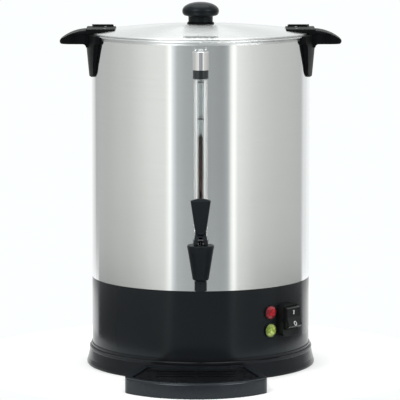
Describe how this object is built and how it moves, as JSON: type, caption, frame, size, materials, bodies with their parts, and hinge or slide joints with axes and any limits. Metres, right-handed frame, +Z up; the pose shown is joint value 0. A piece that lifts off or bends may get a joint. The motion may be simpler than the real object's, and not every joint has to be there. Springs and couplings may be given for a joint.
{
  "type": "coffee urn",
  "caption": "Upright round steel coffee urn with a domed lid, side handles, a clear level gauge, a lever tap and a loose drip tray on a black base.",
  "frame": {"origin": "on the tank's upright axis, in the plane of the table that the urn stands on", "axes": "+Z up along the tank's axis; -Y to the front, where the tap and the drip tray are; +X to the right of someone facing the tap, where the switch is"},
  "size_m": [0.36, 0.4095, 0.4655],
  "materials": {
    "tank_steel": "brushed round the tank",
    "lid_steel": "satin",
    "inner_steel": "plain drawn sheet",
    "zinc_steel": "zinc plated",
    "bright_metal": "polished",
    "band_black": "satin moulded",
    "skirt_black": "satin moulded",
    "handle_black": "heat-proof moulded",
    "tap_black": "heat-proof moulded",
    "tray_plastic": "fine grain moulded",
    "grille_black": "smooth moulded",
    "switch_black": "moulded",
    "lens_red": "clear tinted, lit",
    "lens_green": "clear tinted, lit",
    "clear_glass": "clear",
    "seal_rubber": "silicone",
    "foot_rubber": "ribbed",
    "cup_silicone": "silicone",
    "ceramic_white": "unglazed",
    "terminal_nylon": "moulded",
    "wire_sleeve": "silicone sleeve",
    "heater_alloy": "cast and sheathed"
  },
  "bodies": {
    "urn": {"tank": "tank_steel", "base_band": "band_black", "base_skirt": "skirt_black", "base_plate": "zinc_steel", "feet": "foot_rubber", "base_screws": "zinc_steel", "tie_rods": "zinc_steel", "handle_left": "handle_black", "handle_right": "handle_black", "handle_screws": "zinc_steel", "gauge_glass": "clear_glass", "gauge_guard": "clear_glass", "gauge_cap": "bright_metal", "gauge_ring": "handle_black", "gauge_seals": "seal_rubber", "gauge_nut": "zinc_steel", "tap_body": "tap_black", "tap_bonnet": "tap_black", "tap_spring": "bright_metal", "tap_washers": "seal_rubber", "tap_nut": "zinc_steel", "switch_housing": "switch_black", "lamp_bodies": "switch_black", "red_lens": "lens_red", "green_lens": "lens_green", "power_inlet": "switch_black", "main_heater": "heater_alloy", "warm_heater": "heater_alloy", "heater_clamp": "zinc_steel", "thermostats": "ceramic_white", "thermal_fuse": "ceramic_white", "terminal_block": "terminal_nylon", "wiring_loom": "wire_sleeve"},
    "lid": {"lid_shell": "lid_steel", "lid_knob": "handle_black", "knob_collar": "handle_black", "knob_screw": "zinc_steel", "lid_lugs": "handle_black", "lug_rivets": "zinc_steel"},
    "pump": {"pump_tube": "inner_steel", "pump_foot": "inner_steel"},
    "pump_washer": {"pump_valve": "inner_steel"},
    "basket": {"coffee_basket": "inner_steel"},
    "spreader": {"basket_lid": "inner_steel"},
    "valve": {"tap_stem": "bright_metal", "seat_cup": "cup_silicone", "lever_pin": "bright_metal"},
    "lever": {"tap_lever": "tap_black"},
    "rocker": {"rocker": "switch_black"},
    "tray": {"drip_tray": "tray_plastic"},
    "grille": {"drip_grille": "grille_black"}
  },
  "joints": [
    {"name": "lid_lift", "type": "slide", "parent": "urn", "child": "lid", "axis": [0, 0, 1], "range_m": [0, 0.56]},
    {"name": "pump_lift", "type": "slide", "parent": "urn", "child": "pump", "axis": [0, 0, 1], "range_m": [0, 0.33]},
    {"name": "basket_lift", "type": "slide", "parent": "pump", "child": "basket", "axis": [0, 0, 1], "range_m": [0, 0.12]},
    {"name": "spreader_lift", "type": "slide", "parent": "basket", "child": "spreader", "axis": [0, 0, 1], "range_m": [0, 0.03]},
    {"name": "pump_washer_lift", "type": "slide", "parent": "pump", "child": "pump_washer", "axis": [0, 0, 1], "range_m": [0, 0.0015]},
    {"name": "tap_valve", "type": "slide", "parent": "urn", "child": "valve", "axis": [0, 0, 1], "range_m": [0, 0.004], "stiffness_N_per_m": 600, "springref_m": -0.01, "deforming": ["tap_spring"]},
    {"name": "tap_lever_pull", "type": "hinge", "parent": "valve", "child": "lever", "pos_m": [0, -0.197, 0.1856], "axis": [1, 0, 0], "range_deg": [0, 28.5]},
    {"name": "rocker_tip", "type": "hinge", "parent": "urn", "child": "rocker", "pos_m": [0.11216, -0.09579, 0.073], "axis": [0.6494, 0.7604, 0], "range_deg": [0, 18]},
    {"name": "tray_pull", "type": "slide", "parent": "urn", "child": "tray", "axis": [0, -1, 0], "range_m": [0, 0.12]},
    {"name": "grille_lift", "type": "slide", "parent": "tray", "child": "grille", "axis": [0, 0, 1], "range_m": [0, 0.04]}
  ],
  "couplings": [
    {"joint": "pump_lift", "follows": "lid_lift", "ratio": 0.588},
    {"joint": "basket_lift", "follows": "lid_lift", "ratio": 0.213},
    {"joint": "spreader_lift", "follows": "lid_lift", "ratio": 0.053},
    {"joint": "tap_lever_pull", "follows": "tap_valve", "rad_per_m": 122.17}
  ]
}
